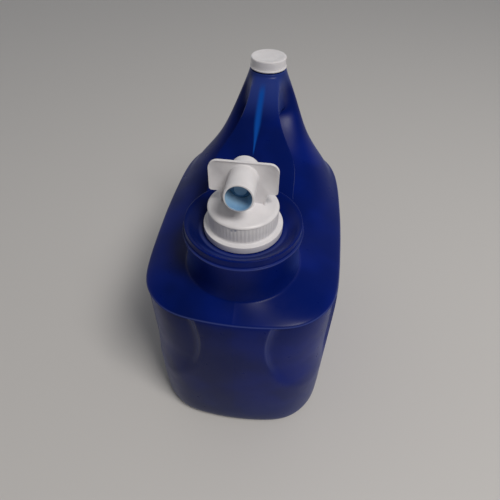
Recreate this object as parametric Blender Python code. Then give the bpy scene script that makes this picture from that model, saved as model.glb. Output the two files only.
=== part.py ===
"""Laundry detergent bottle: a blow-moulded jug with a push-button tap and a vent cap.

Units are metres. The origin is the centre of the base, +Z is up, the tap points along -Y.
"""
import math

import bmesh
import bpy
from mathutils import Matrix, Vector

# Body of the jug
BODY_WIDTH = 0.1510
BODY_DEPTH = 0.2330
SIDE_BULGE = 0.0025
END_BULGE = 0.0015
CORNER_RADIUS = 0.0480
REAR_CORNER_RADIUS = 0.0570
SHOULDER_HEIGHT = 0.1540
SHOULDER_RADIUS = 0.0070
BASE_RADIUS = 0.0100
FOOT_WIDTH = 0.0180
BASE_RECESS = 0.0025
WALL = 0.0015

# Grip dimples in the front corners
DIMPLE_HEIGHT = 0.1250
DIMPLE_RADIUS = 0.0480
DIMPLE_GAP = 0.0460
DIMPLE_DEPTH = 0.0030
DIMPLE_RAMP = 0.0090

# Boss and neck under the tap
TAP_SETBACK = 0.0570
BOSS_RADIUS = 0.0418
BOSS_FOOT_RISE = 0.0060
BOSS_HEIGHT = 0.0382
LEDGE_WIDTH = 0.0014
RIM_HEIGHT = 0.0064
RIM_WIDTH = 0.0030
DISH_DEPTH = 0.0075
DISH_RADIUS = 0.0312
NECK_RADIUS = 0.0195
NECK_HEIGHT = 0.0160

# Vent neck at the back
VENT_SETBACK = 0.0227
VENT_SHOULDER_RADIUS = 0.0157
VENT_SHOULDER_HEIGHT = 0.2385
VENT_NECK_RADIUS = 0.0120
VENT_NECK_HEIGHT = 0.0070

# Carrying bar and the hand hole under it
BAR_FRONT_WIDTH = 0.0640
BAR_REAR_WIDTH = 0.0330
BAR_THICKNESS = 0.0240

# Tap moulding, heights measured from the underside of its flange
TAP_SEAT_GAP = 0.0007
FLANGE_RADIUS = 0.0271
FLANGE_HEIGHT = 0.0048
SKIRT_RADIUS = 0.0230
DISC_RADIUS = 0.0243
DISC_THICKNESS = 0.0025
DISC_EDGE_RADIUS = 0.0030
NECK_CLEARANCE = 0.0008
GASKET_THICKNESS = 0.0014
GASKET_WIDTH = 0.0050
BARREL_HEIGHT = 0.0413
BARREL_RADIUS = 0.0094
BARREL_WALL = 0.0013
SPOUT_LENGTH = 0.0208
BARREL_TAIL = 0.0100
WING_WIDTH = 0.0458
WING_TOP = 0.0525
WING_BOTTOM = 0.0300
WING_FOOT_WIDTH = 0.0310
WING_THICKNESS = 0.0022
WING_CORNER_RADIUS = 0.0062
WING_HEEL_RADIUS = 0.0014
PILLAR_RADIUS = 0.0075
FLOW_HOLE_RADIUS = 0.0045

# Push button and valve
BUTTON_RADIUS = 0.0070
BUTTON_CLEARANCE = 0.0003
BUTTON_REACH = 0.0026
BUTTON_DOME = 0.0018
BUTTON_FLANGE_RADIUS = 0.0077
BUTTON_FLANGE_THICKNESS = 0.0016
BUTTON_SLEEVE_LENGTH = 0.0070
STEM_RADIUS = 0.0022
STEM_HEAD_RADIUS = 0.0040
STEM_HEAD_LENGTH = 0.0013
SEAT_HOLE_RADIUS = 0.0052
SEAT_SETBACK = 0.0073
SEAT_THICKNESS = 0.0020
SEAL_RADIUS = 0.0070
SEAL_THICKNESS = 0.0020

# Vent cap
VENT_CAP_RADIUS = 0.0149
VENT_CAP_TOP = 0.0016
VENT_CAP_EDGE_RADIUS = 0.0010
VENT_CAP_BEAD = 0.0004
VENT_CAP_BEAD_HEIGHT = 0.0015
VENT_CAP_SEAT_GAP = 0.0013
LINER_THICKNESS = 0.0010

# Gap between two pieces that touch, overrun of a cutter, and the merge distance of a turned mesh
TOUCH_GAP = 0.0003
OVERRUN = 0.0020
MERGE_DISTANCE = 0.000001

# Sides of the turned pieces and the corners of the bottle's rings
TURN_STEPS = 32
SMALL_TURN_STEPS = 20
ARC_STEPS = 4
PLAN_CORNERS = 24
LOOP_CORNERS = 16
CAGE_LEVELS = 1
FITTING_ROUNDS = 12

# Shares that shape the jug's cage: foot across its width, wall up its height
FOOT_SHARES = (0, 0.25, 0.75, 1)
WALL_LEVEL_SHARES = (0.18, 0.34, 0.5, 0.66, 0.82, 0.95)

# Flare under the vent: front and rear reach, half-width, front and rear climb, squareness
FLARE_SHARES = (
    (0.40, 0.85, 0.76, 0.10, 0.12, 2.4),
    (0.66, 0.88, 0.61, 0.20, 0.26, 2.3),
    (0.82, 0.90, 0.50, 0.34, 0.40, 2.2),
    (0.93, 0.92, 0.42, 0.49, 0.54, 2.1),
    (0.98, 0.94, 0.350, 0.65, 0.67, 2.0),
    (1.00, 0.97, 0.280, 0.81, 0.82, 2.0),
    (1.00, 1.00, 0.225, 0.95, 0.95, 2.0))

# Saddle between boss and flare: width, way back, drop
SADDLE_SHARE = 0.18
SADDLE_SHARES = ((0.70, -0.9, 0.5), (0.34, -0.15, 0.1), (0, 0, 0), (-0.34, -0.15, 0.1), (-0.70, -0.9, 0.5))

# Bar: along its length and across, then its section from top to underside
BAR_SHARES = ((0.20, 0.80), (0.44, 0.42), (0.70, 0.10))
BAR_TOP_SHARES = (1, 0.5, 0, -0.5, -1)
BAR_UNDER_SHARES = (-0.8, -0.42, 0, 0.42, 0.8)
BAR_BELLY_SHARE = 0.55
BAR_BELLY_WIDTH_SHARE = 1.02
BAR_UNDER_SHARE = 1.12

# Rows and columns of the boss and of the flare that are left open for the bar
BOSS_BAR_ROWS = (1, 2)
BOSS_BAR_COLUMNS = (6, 7, 8, 9)
VENT_BAR_ROWS = (4, 5)
VENT_BAR_COLUMNS = (14, 15, 0, 1)

# Places that follow from the sizes
HALF_WIDTH = BODY_WIDTH / 2
HALF_DEPTH = BODY_DEPTH / 2
TAP_Y = TAP_SETBACK - HALF_DEPTH
VENT_Y = HALF_DEPTH - VENT_SETBACK
BOSS_TOP = SHOULDER_HEIGHT + BOSS_HEIGHT
RIM_TOP = BOSS_TOP + RIM_HEIGHT
DISH_FLOOR = RIM_TOP - DISH_DEPTH
NECK_TOP = DISH_FLOOR + NECK_HEIGHT
TAP_Z = DISH_FLOOR + TAP_SEAT_GAP
CAP_CEILING = NECK_TOP + GASKET_THICKNESS + 2 * TOUCH_GAP - TAP_Z
CAP_HEIGHT = CAP_CEILING + DISC_THICKNESS
BARREL_Z = TAP_Z + BARREL_HEIGHT
VENT_NECK_TOP = VENT_SHOULDER_HEIGHT + VENT_NECK_HEIGHT
VENT_CAP_Z = VENT_SHOULDER_HEIGHT + VENT_CAP_SEAT_GAP
VENT_CAP_CEILING = VENT_NECK_TOP + LINER_THICKNESS + 2 * TOUCH_GAP - VENT_CAP_Z
VENT_CAP_HEIGHT = VENT_CAP_CEILING + VENT_CAP_TOP


def clear_scene():
    for thing in list(bpy.data.objects):
        bpy.data.objects.remove(thing, do_unlink=True)


def make_material(name, colour, roughness, metallic=0.0):
    material = bpy.data.materials.new(name)
    material.use_nodes = True
    shader = material.node_tree.nodes["Principled BSDF"]
    shader.inputs["Base Color"].default_value = (*colour, 1.0)
    shader.inputs["Roughness"].default_value = roughness
    shader.inputs["Metallic"].default_value = metallic
    material.diffuse_color = (*colour, 1.0)
    return material


def add_object(name, mesh, material, location=(0, 0, 0), sharp_angle=math.radians(35)):
    thing = bpy.data.objects.new(name, mesh)
    bpy.context.scene.collection.objects.link(thing)
    mesh.materials.clear()
    mesh.materials.append(material)
    thing.location = location
    mesh.shade_smooth()
    mesh.set_sharp_from_angle(angle=sharp_angle)
    return thing


def mesh_from(bm, name):
    mesh = bpy.data.meshes.new(name)
    bm.to_mesh(mesh)
    bm.free()
    return mesh


def arc(centre, radius, start, end, steps=ARC_STEPS):
    """Points of an arc between two angles in degrees, ends included."""
    points = []
    for step in range(steps + 1):
        angle = math.radians(start + (end - start) * step / steps)
        points.append((centre[0] + radius * math.cos(angle), centre[1] + radius * math.sin(angle)))
    return points


def turned_mesh(name, profile, steps=TURN_STEPS, closed=True, along_y=False):
    """Solid of revolution about Z of (radius, height) points, or about Y with height along +Y."""
    bm = bmesh.new()
    corners = [bm.verts.new((radius, 0, height)) for radius, height in profile]
    pairs = list(zip(corners, corners[1:]))
    if closed:
        pairs.append((corners[-1], corners[0]))
    edges = [bm.edges.new(pair) for pair in pairs]
    bmesh.ops.spin(bm, geom=corners + edges, cent=(0, 0, 0), axis=(0, 0, 1),
                   angle=math.tau, steps=steps, use_merge=True)
    bmesh.ops.remove_doubles(bm, verts=bm.verts, dist=MERGE_DISTANCE)
    bmesh.ops.dissolve_degenerate(bm, edges=bm.edges, dist=MERGE_DISTANCE)
    if along_y:
        bmesh.ops.rotate(bm, verts=bm.verts, cent=(0, 0, 0), matrix=Matrix.Rotation(-math.pi / 2, 3, "X"))
    bmesh.ops.recalc_face_normals(bm, faces=bm.faces)
    return mesh_from(bm, name)


def turned(name, profile, material, location, **options):
    return add_object(name, turned_mesh(name, profile, **options), material, location)


def cylinder_profile(radius, bottom, top):
    return [(0, bottom), (radius, bottom), (radius, top), (0, top)]


def combine(target, tool, operation):
    """Joins a tool to the target, or cuts it away, and keeps only the target."""
    modifier = target.modifiers.new(operation.lower(), "BOOLEAN")
    modifier.operation = operation
    modifier.object = tool
    evaluated = target.evaluated_get(bpy.context.evaluated_depsgraph_get())
    result = bpy.data.meshes.new_from_object(evaluated)
    target.modifiers.clear()
    target.data = result
    bpy.data.objects.remove(tool, do_unlink=True)


# The jug's cage: rings of corners whose smoothed surface is the outer skin


def through(points):
    """Ring of cage corners whose smoothed curve passes through the given points."""
    count = len(points)
    corners = list(points)
    for _ in range(FITTING_ROUNDS):
        pushed = []
        for index in range(count):
            limit = (corners[index - 1] + 4 * corners[index] + corners[(index + 1) % count]) / 6
            pushed.append(corners[index] + points[index] - limit)
        corners = pushed
    return corners


def plan_ring(inset, height):
    """Rounded rectangle, with slightly bulging sides, set in from the body's outline."""
    half_width = HALF_WIDTH - inset
    half_depth = HALF_DEPTH - inset
    right = []
    for end, corner_radius in ((-1, CORNER_RADIUS), (1, REAR_CORNER_RADIUS)):
        radius = max(corner_radius - inset, corner_radius / 6)
        corner_x = half_width - SIDE_BULGE - radius
        corner_y = half_depth - END_BULGE - radius
        quarter = [(0, end * half_depth)]
        for angle in (0, 30, 60, 90):
            turn = math.radians(angle)
            quarter.append((corner_x + radius * math.sin(turn), end * (corner_y + radius * math.cos(turn))))
        quarter.append((half_width - SIDE_BULGE / 4, end * corner_y / 2))
        right += quarter if end < 0 else [(half_width, 0)] + quarter[::-1]
    left = [(-x, y) for x, y in right[-2:0:-1]]
    flat = through([Vector((x, y, 0)) for x, y in right + left])
    return [Vector((point.x, point.y, height)) for point in flat]


def round_loop(centre_y, radius, height, tilt=0, depth=None, squareness=2):
    """Loop of corners about the Z line at centre_y, the first corner at the front."""
    depth = radius if depth is None else depth
    points = []
    for index in range(LOOP_CORNERS):
        angle = math.tau * index / LOOP_CORNERS
        power = 2 / squareness
        x = radius * math.copysign(abs(math.sin(angle)) ** power, math.sin(angle))
        y = -depth * math.copysign(abs(math.cos(angle)) ** power, math.cos(angle))
        rise = tilt * y / depth
        points.append(Vector((x, centre_y + y, height + rise)))
    return through(points)


def spanning_loop(front_y, rear_y, half_width, front_z, rear_z, squareness):
    """Tilted loop between a front and a rear point."""
    middle_y = (front_y + rear_y) / 2
    middle_z = (front_z + rear_z) / 2
    return round_loop(middle_y, half_width, middle_z, tilt=(rear_z - front_z) / 2,
                      depth=(rear_y - front_y) / 2, squareness=squareness)


class Cage:
    """Collects rings of corners and the quads between them."""

    def __init__(self):
        self.bm = bmesh.new()
        self.crease = self.bm.edges.layers.float.new("crease_edge")

    def ring(self, points):
        return [self.bm.verts.new(point) for point in points]

    def quad(self, *corners):
        return self.bm.faces.new(corners)

    def join(self, lower, upper, skip=()):
        count = len(lower)
        for index in range(count):
            if index in skip:
                continue
            after = (index + 1) % count
            self.quad(lower[index], lower[after], upper[after], upper[index])

    def sharpen(self, corners, amount, closed=False):
        pairs = list(zip(corners, corners[1:]))
        if closed:
            pairs.append((corners[-1], corners[0]))
        for pair in pairs:
            edge = self.bm.edges.get(pair)
            edge[self.crease] = amount


def build_jug_cage():
    cage = Cage()

    # Base with a raised floor, foot ring and rounded edge, then the walls up to the shoulder
    foot_inner = BASE_RADIUS + FOOT_WIDTH
    foot = [(foot_inner - FOOT_WIDTH * share, 0) for share in FOOT_SHARES]
    wall_levels = [BASE_RADIUS + (SHOULDER_HEIGHT - 2 * BASE_RADIUS) * share for share in WALL_LEVEL_SHARES]
    profile = [(foot_inner + 2 * BASE_RECESS, BASE_RECESS)] + foot
    profile += [(BASE_RADIUS / 5, BASE_RADIUS / 6), (0, BASE_RADIUS)]
    profile += [(0, level) for level in wall_levels]
    profile += [(SHOULDER_RADIUS / 8, SHOULDER_HEIGHT - SHOULDER_RADIUS / 3),
                (SHOULDER_RADIUS * 0.8, SHOULDER_HEIGHT)]
    rings = [cage.ring(plan_ring(inset, height)) for inset, height in profile]
    cage.quad(*reversed(rings[0]))
    for lower, upper in zip(rings, rings[1:]):
        cage.join(lower, upper)
    shoulder = rings[-1]
    cage.sharpen(rings[-2], 0.5, closed=True)

    # Loops around the boss, from its foot to the rim of the tap neck
    foot_z = SHOULDER_HEIGHT + BOSS_FOOT_RISE
    boss_levels = [
        (BOSS_RADIUS * 1.03, foot_z),
        (BOSS_RADIUS * 0.99, foot_z + (BOSS_TOP - foot_z) * 0.25),
        (BOSS_RADIUS * 0.99, foot_z + (BOSS_TOP - foot_z) * 0.68),
        (BOSS_RADIUS, BOSS_TOP),
        (BOSS_RADIUS - LEDGE_WIDTH, BOSS_TOP + LEDGE_WIDTH / 5),
        (BOSS_RADIUS - LEDGE_WIDTH, RIM_TOP),
        (BOSS_RADIUS - LEDGE_WIDTH - RIM_WIDTH, RIM_TOP - RIM_WIDTH / 5),
        (DISH_RADIUS, DISH_FLOOR),
        (NECK_RADIUS + WALL / 4, DISH_FLOOR),
        (NECK_RADIUS, DISH_FLOOR + WALL / 4),
        (NECK_RADIUS, NECK_TOP)]
    boss = [cage.ring(round_loop(TAP_Y, radius, height)) for radius, height in boss_levels]
    for row, (lower, upper) in enumerate(zip(boss, boss[1:])):
        cage.join(lower, upper, skip=BOSS_BAR_COLUMNS if row in BOSS_BAR_ROWS else ())

    # Loops around the vent, from the wide flare on the shoulder to the rim of the vent neck
    rear = HALF_DEPTH
    climb = VENT_SHOULDER_HEIGHT - SHOULDER_HEIGHT
    vent_front = VENT_Y - VENT_SHOULDER_RADIUS
    vent_rear = VENT_Y + VENT_SHOULDER_RADIUS
    reach = vent_front - (TAP_Y + BOSS_RADIUS)
    vent = []
    for front_share, rear_share, width_share, front_climb, rear_climb, squareness in FLARE_SHARES:
        front_y = vent_front - reach * (1 - front_share)
        rear_y = rear + (vent_rear - rear) * rear_share
        vent.append(cage.ring(spanning_loop(
            front_y, rear_y, HALF_WIDTH * width_share,
            SHOULDER_HEIGHT + climb * front_climb, SHOULDER_HEIGHT + climb * rear_climb, squareness)))
    for radius, height in [(VENT_SHOULDER_RADIUS, VENT_SHOULDER_HEIGHT),
                           (VENT_NECK_RADIUS + WALL / 4, VENT_SHOULDER_HEIGHT + WALL / 3),
                           (VENT_NECK_RADIUS, VENT_SHOULDER_HEIGHT + WALL * 1.5),
                           (VENT_NECK_RADIUS, VENT_NECK_TOP)]:
        vent.append(cage.ring(round_loop(VENT_Y, radius, height)))
    for row, (lower, upper) in enumerate(zip(vent, vent[1:])):
        cage.join(lower, upper, skip=VENT_BAR_COLUMNS if row in VENT_BAR_ROWS else ())

    # Skirt on the shoulder that splits into the boss loop and the flare loop at the saddle
    split_z = SHOULDER_HEIGHT + BOSS_FOOT_RISE / 2
    boss_ring = [None] * LOOP_CORNERS
    vent_ring = [None] * LOOP_CORNERS
    for step in range(-5, 6):
        outer = shoulder[step % PLAN_CORNERS].co
        inner = boss[0][step % LOOP_CORNERS].co
        place = outer.lerp(inner, 0.55)
        boss_ring[step % LOOP_CORNERS] = cage.bm.verts.new((place.x, place.y, split_z))
    for index in range(3, 14):
        outer = shoulder[index + 4].co
        inner = vent[0][index].co
        place = outer.lerp(inner, 0.5)
        vent_ring[index] = cage.bm.verts.new((place.x, place.y, split_z + (inner.z - split_z) * 0.35))
    saddle_y = TAP_Y + BOSS_RADIUS + reach * SADDLE_SHARE
    saddle_z = SHOULDER_HEIGHT + BOSS_FOOT_RISE
    saddle = []
    for x_share, back_share, drop_share in SADDLE_SHARES:
        saddle.append(cage.bm.verts.new((HALF_WIDTH * x_share, saddle_y + reach * SADDLE_SHARE * back_share,
                                         saddle_z - BOSS_FOOT_RISE * drop_share)))
    for step, corner in enumerate(saddle):
        boss_ring[6 + step] = corner
        vent_ring[(2 - step) % LOOP_CORNERS] = corner
    cage.join(boss_ring, boss[0])
    cage.join(vent_ring, vent[0])
    for step in range(-6, 6):
        cage.quad(shoulder[step % PLAN_CORNERS], shoulder[(step + 1) % PLAN_CORNERS],
                  boss_ring[(step + 1) % LOOP_CORNERS], boss_ring[step % LOOP_CORNERS])
    for index in range(2, 14):
        cage.quad(shoulder[index + 4], shoulder[(index + 5) % PLAN_CORNERS],
                  vent_ring[index + 1], vent_ring[index])

    build_bar(cage, boss[1:4], vent[4:7])

    cage.sharpen([boss[3][(10 + step) % LOOP_CORNERS] for step in range(13)], 0.6)
    cage.sharpen(boss[4], 0.6, closed=True)
    cage.sharpen(boss[5], 0.6, closed=True)
    cage.sharpen(boss[-1], 1.0, closed=True)
    cage.sharpen(vent[-4], 0.5, closed=True)
    cage.sharpen(vent[-1], 1.0, closed=True)
    return mesh_from(cage.bm, "jug_cage")


def build_bar(cage, boss_rows, vent_rows):
    """Hollow bar between the openings left in the boss and in the vent flare."""
    front = loop_of_opening(boss_rows, [6, 7, 8, 9, 10])
    rear = loop_of_opening(vent_rows, [2, 1, 0, 15, 14])
    start = Vector((0, TAP_Y + BOSS_RADIUS, BOSS_TOP))
    end = Vector((0, VENT_Y - VENT_SHOULDER_RADIUS, VENT_SHOULDER_HEIGHT))
    along = end - start
    normal = Vector((0, -along.z, along.y)).normalized()
    loops = [front]
    for along_share, width_share in BAR_SHARES:
        top = start + along * along_share
        half = (BAR_REAR_WIDTH + (BAR_FRONT_WIDTH - BAR_REAR_WIDTH) * width_share) / 2
        points = [top + Vector((half * side_share, 0, 0)) for side_share in BAR_TOP_SHARES]
        belly = top - normal * BAR_THICKNESS * BAR_BELLY_SHARE
        points.append(belly + Vector((-half * BAR_BELLY_WIDTH_SHARE, 0, 0)))
        under = top - normal * BAR_THICKNESS * BAR_UNDER_SHARE
        points += [under + Vector((half * side_share, 0, 0)) for side_share in BAR_UNDER_SHARES]
        points.append(belly + Vector((half * BAR_BELLY_WIDTH_SHARE, 0, 0)))
        loops.append(cage.ring(points))
    loops.append(rear)
    for near, far in zip(loops, loops[1:]):
        cage.join(far, near)
    for side in (0, 4):
        cage.sharpen([loop[side] for loop in loops], 0.6)


def loop_of_opening(rows, columns):
    """Corners around an opening two rows tall: top row, far side, bottom row back, near side."""
    bottom, middle, top = rows
    loop = [top[column] for column in columns]
    loop.append(middle[columns[-1]])
    loop += [bottom[column] for column in reversed(columns)]
    loop.append(middle[columns[0]])
    return loop


def ease(share):
    share = min(max(share, 0), 1)
    return share * share * (3 - 2 * share)


def press_dimples(mesh):
    """Round shallow grips that wrap the two front corners."""
    centre_x = DIMPLE_GAP / 2 + DIMPLE_RADIUS
    inner_y = DIMPLE_RADIUS * 0.8
    for vertex in mesh.vertices:
        place = vertex.co
        if place.z > SHOULDER_HEIGHT - SHOULDER_RADIUS / 2 or place.y > inner_y - HALF_DEPTH:
            continue
        side = math.copysign(1, place.x)
        arc_x = unrolled_x(place)
        distance = math.hypot(arc_x - centre_x, place.z - DIMPLE_HEIGHT)
        depth = DIMPLE_DEPTH * ease((DIMPLE_RADIUS - distance) / DIMPLE_RAMP)
        inward = Vector((-side * ease(arc_x / centre_x), 1, 0)).normalized()
        vertex.co = place + inward * depth


def unrolled_x(place):
    """Distance from the centre line measured along the front wall and round its corner."""
    flat = HALF_WIDTH - CORNER_RADIUS
    x = abs(place.x)
    if x <= flat:
        return x
    corner_y = CORNER_RADIUS - HALF_DEPTH
    angle = math.atan2(x - flat, corner_y - place.y) if place.y < corner_y else math.pi / 2
    beyond = max(place.y - corner_y, 0)
    return flat + CORNER_RADIUS * angle + beyond


def build_bottle(material):
    cage = bpy.data.objects.new("jug_cage", build_jug_cage())
    bpy.context.scene.collection.objects.link(cage)
    smooth = cage.modifiers.new("smooth", "SUBSURF")
    smooth.levels = CAGE_LEVELS
    smooth.render_levels = CAGE_LEVELS
    evaluated = cage.evaluated_get(bpy.context.evaluated_depsgraph_get())
    mesh = bpy.data.meshes.new_from_object(evaluated)
    bpy.data.objects.remove(cage, do_unlink=True)
    press_dimples(mesh)
    mesh.name = "bottle"
    bottle = add_object("bottle", mesh, material)
    wall = bottle.modifiers.new("wall", "SOLIDIFY")
    wall.thickness = WALL
    wall.offset = -1
    wall.use_even_offset = False
    return bottle


def wing_outline():
    """Outline of the wing plate in (x, z) from the tap axis and the flange underside."""
    half = WING_WIDTH / 2
    foot = WING_FOOT_WIDTH / 2
    corner = WING_CORNER_RADIUS
    heel = WING_HEEL_RADIUS
    right = [(foot, CAP_HEIGHT - DISC_THICKNESS / 2)]
    right.append((foot, WING_BOTTOM))
    right += arc((half - heel, WING_BOTTOM + heel), heel, -90, 0, 2)
    right += arc((half - corner, WING_TOP - corner), corner, 0, 90)
    left = [(-x, z) for x, z in reversed(right)]
    return right + left


def build_wing_plate(material):
    bm = bmesh.new()
    front = [bm.verts.new((x, -WING_THICKNESS / 2, z)) for x, z in wing_outline()]
    face = bm.faces.new(front)
    grown = bmesh.ops.extrude_face_region(bm, geom=[face])
    moved = [item for item in grown["geom"] if isinstance(item, bmesh.types.BMVert)]
    bmesh.ops.translate(bm, verts=moved, vec=(0, WING_THICKNESS, 0))
    bmesh.ops.recalc_face_normals(bm, faces=bm.faces)
    return add_object("wing_plate", mesh_from(bm, "wing_plate"), material, (0, TAP_Y, TAP_Z))


def build_tap_body(material):
    origin = (0, TAP_Y, TAP_Z)
    on_axis = (0, TAP_Y, BARREL_Z)
    bore = NECK_RADIUS + NECK_CLEARANCE
    ceiling = CAP_CEILING
    edge = DISC_EDGE_RADIUS
    profile = [(bore, ceiling), (bore, 0), (FLANGE_RADIUS, 0), (FLANGE_RADIUS, FLANGE_HEIGHT),
               (SKIRT_RADIUS, FLANGE_HEIGHT), (SKIRT_RADIUS, CAP_HEIGHT - 2 * edge)]
    profile += arc((DISC_RADIUS - edge, CAP_HEIGHT - edge), edge, 0, 90)
    profile += [(FLOW_HOLE_RADIUS, CAP_HEIGHT), (FLOW_HOLE_RADIUS, ceiling)]
    tap = turned("tap_body", profile, material, origin)

    pillar_y = -SEAT_SETBACK / 3
    barrel = turned("barrel", cylinder_profile(BARREL_RADIUS, -SPOUT_LENGTH, BARREL_TAIL), material,
                    on_axis, closed=False, along_y=True)
    combine(tap, build_wing_plate(material), "UNION")
    combine(tap, barrel, "UNION")
    pillar = turned("pillar", cylinder_profile(PILLAR_RADIUS, CAP_HEIGHT - DISC_THICKNESS / 2, BARREL_HEIGHT),
                    material, (0, TAP_Y + pillar_y, TAP_Z), closed=False, steps=SMALL_TURN_STEPS)
    combine(tap, pillar, "UNION")

    inner = BARREL_RADIUS - BARREL_WALL
    seat_front = -SEAT_SETBACK - SEAT_THICKNESS
    sleeve_start = BARREL_TAIL - BUTTON_SLEEVE_LENGTH
    waterway = [(0, -SPOUT_LENGTH - OVERRUN), (inner, -SPOUT_LENGTH - OVERRUN), (inner, seat_front),
                (SEAT_HOLE_RADIUS, seat_front), (SEAT_HOLE_RADIUS, -SEAT_SETBACK), (inner, -SEAT_SETBACK),
                (inner, sleeve_start), (BUTTON_RADIUS + BUTTON_CLEARANCE, sleeve_start),
                (BUTTON_RADIUS + BUTTON_CLEARANCE, BARREL_TAIL + OVERRUN), (0, BARREL_TAIL + OVERRUN)]
    cutter = turned("waterway", waterway, material, on_axis, closed=False, along_y=True)
    combine(tap, cutter, "DIFFERENCE")
    flow = turned("flow_hole", cylinder_profile(FLOW_HOLE_RADIUS, ceiling - OVERRUN, BARREL_HEIGHT), material,
                  (0, TAP_Y + pillar_y, TAP_Z), closed=False, steps=SMALL_TURN_STEPS)
    combine(tap, flow, "DIFFERENCE")
    tap.data.shade_smooth()
    tap.data.set_sharp_from_angle(angle=math.radians(35))
    return tap


def build_button(material):
    """Domed plunger with a flange that stops behind the sleeve at the tail of the barrel."""
    step = BARREL_TAIL - BUTTON_SLEEVE_LENGTH - TOUCH_GAP
    front = step - BUTTON_FLANGE_THICKNESS
    back = BARREL_TAIL + BUTTON_REACH
    profile = [(0, front), (BUTTON_FLANGE_RADIUS, front), (BUTTON_FLANGE_RADIUS, step),
               (BUTTON_RADIUS, step), (BUTTON_RADIUS, back)]
    for index in range(1, ARC_STEPS + 1):
        turn = math.pi / 2 * index / ARC_STEPS
        profile.append((BUTTON_RADIUS * math.cos(turn), back + BUTTON_DOME * math.sin(turn)))
    profile[-1] = (0, back + BUTTON_DOME)
    return turned("tap_button", profile, material, (0, TAP_Y, BARREL_Z), closed=False, along_y=True)


def build_valve(stem_material, seal_material):
    button_front = BARREL_TAIL - BUTTON_SLEEVE_LENGTH - TOUCH_GAP - BUTTON_FLANGE_THICKNESS
    seal_back = -SEAT_SETBACK - SEAT_THICKNESS - TOUCH_GAP
    seal_front = seal_back - SEAL_THICKNESS
    head_back = seal_front - TOUCH_GAP
    head_front = head_back - STEM_HEAD_LENGTH
    stem_profile = [(0, head_front), (STEM_HEAD_RADIUS, head_front), (STEM_HEAD_RADIUS, head_back),
                    (STEM_RADIUS, head_back), (STEM_RADIUS, button_front - TOUCH_GAP),
                    (0, button_front - TOUCH_GAP)]
    stem = turned("valve_stem", stem_profile, stem_material, (0, TAP_Y, BARREL_Z),
                  closed=False, along_y=True, steps=SMALL_TURN_STEPS)
    hole = STEM_RADIUS + TOUCH_GAP
    seal_profile = [(hole, seal_front), (SEAL_RADIUS, seal_front), (SEAL_RADIUS, seal_back), (hole, seal_back)]
    seal = turned("valve_seal", seal_profile, seal_material, (0, TAP_Y, BARREL_Z),
                  along_y=True, steps=SMALL_TURN_STEPS)
    return stem, seal


def build_gasket(material):
    bottom = NECK_TOP - TAP_Z + TOUCH_GAP
    top = bottom + GASKET_THICKNESS
    profile = [(NECK_RADIUS - GASKET_WIDTH, bottom), (NECK_RADIUS, bottom),
               (NECK_RADIUS, top), (NECK_RADIUS - GASKET_WIDTH, top)]
    return turned("tap_gasket", profile, material, (0, TAP_Y, TAP_Z))


def build_vent_cap(cap_material, liner_material):
    origin = (0, VENT_Y, VENT_CAP_Z)
    bore = VENT_NECK_RADIUS + NECK_CLEARANCE
    edge = VENT_CAP_EDGE_RADIUS
    ceiling = VENT_CAP_CEILING
    bead = VENT_CAP_RADIUS + VENT_CAP_BEAD
    profile = [(0, ceiling), (bore, ceiling), (bore, 0), (bead, 0), (bead, VENT_CAP_BEAD_HEIGHT),
               (VENT_CAP_RADIUS, VENT_CAP_BEAD_HEIGHT + VENT_CAP_BEAD)]
    profile += arc((VENT_CAP_RADIUS - edge, VENT_CAP_HEIGHT - edge), edge, 0, 90)
    profile.append((0, VENT_CAP_HEIGHT))
    cap = turned("vent_cap", profile, cap_material, origin, closed=False)
    liner_top = ceiling - TOUCH_GAP
    liner = turned("vent_cap_liner",
                   cylinder_profile(VENT_NECK_RADIUS, liner_top - LINER_THICKNESS, liner_top),
                   liner_material, origin, closed=False)
    return cap, liner


def main():
    clear_scene()
    blue = make_material("blue_hdpe", (0.004, 0.018, 0.210), 0.32)
    white = make_material("white_polypropylene", (0.800, 0.780, 0.775), 0.42)
    soft_white = make_material("white_elastomer", (0.760, 0.745, 0.740), 0.50)
    seal_grey = make_material("natural_polyethylene_foam", (0.700, 0.710, 0.700), 0.70)
    black = make_material("black_rubber", (0.020, 0.020, 0.022), 0.60)
    build_bottle(blue)
    build_tap_body(white)
    build_button(soft_white)
    build_valve(white, black)
    build_gasket(seal_grey)
    build_vent_cap(white, seal_grey)


main()
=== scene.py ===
import math

import bmesh
import bpy
from mathutils import Matrix, Vector


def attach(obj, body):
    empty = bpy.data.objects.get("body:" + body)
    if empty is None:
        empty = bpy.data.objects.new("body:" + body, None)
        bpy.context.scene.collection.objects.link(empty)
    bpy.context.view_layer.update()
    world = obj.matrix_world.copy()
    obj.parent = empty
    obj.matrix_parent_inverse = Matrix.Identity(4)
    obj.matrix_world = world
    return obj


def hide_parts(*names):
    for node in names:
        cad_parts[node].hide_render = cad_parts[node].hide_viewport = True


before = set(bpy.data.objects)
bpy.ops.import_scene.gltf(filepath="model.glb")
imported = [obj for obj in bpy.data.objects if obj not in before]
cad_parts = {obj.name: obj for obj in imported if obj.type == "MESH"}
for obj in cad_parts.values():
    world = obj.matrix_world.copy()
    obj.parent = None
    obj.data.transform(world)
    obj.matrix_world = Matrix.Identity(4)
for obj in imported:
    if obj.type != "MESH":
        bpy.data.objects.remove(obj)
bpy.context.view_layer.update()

scene = bpy.context.scene
mm = 0.001
print("frame loaded:", ", ".join(sorted(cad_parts)))


# Shared helpers

def linearColour(hexCode):
    channels = [int(hexCode[place:place + 2], 16) / 255 for place in (1, 3, 5)]
    linear = [c / 12.92 if c <= 0.04045 else ((c + 0.055) / 1.055) ** 2.4 for c in channels]
    return (*linear, 1.0)


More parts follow.
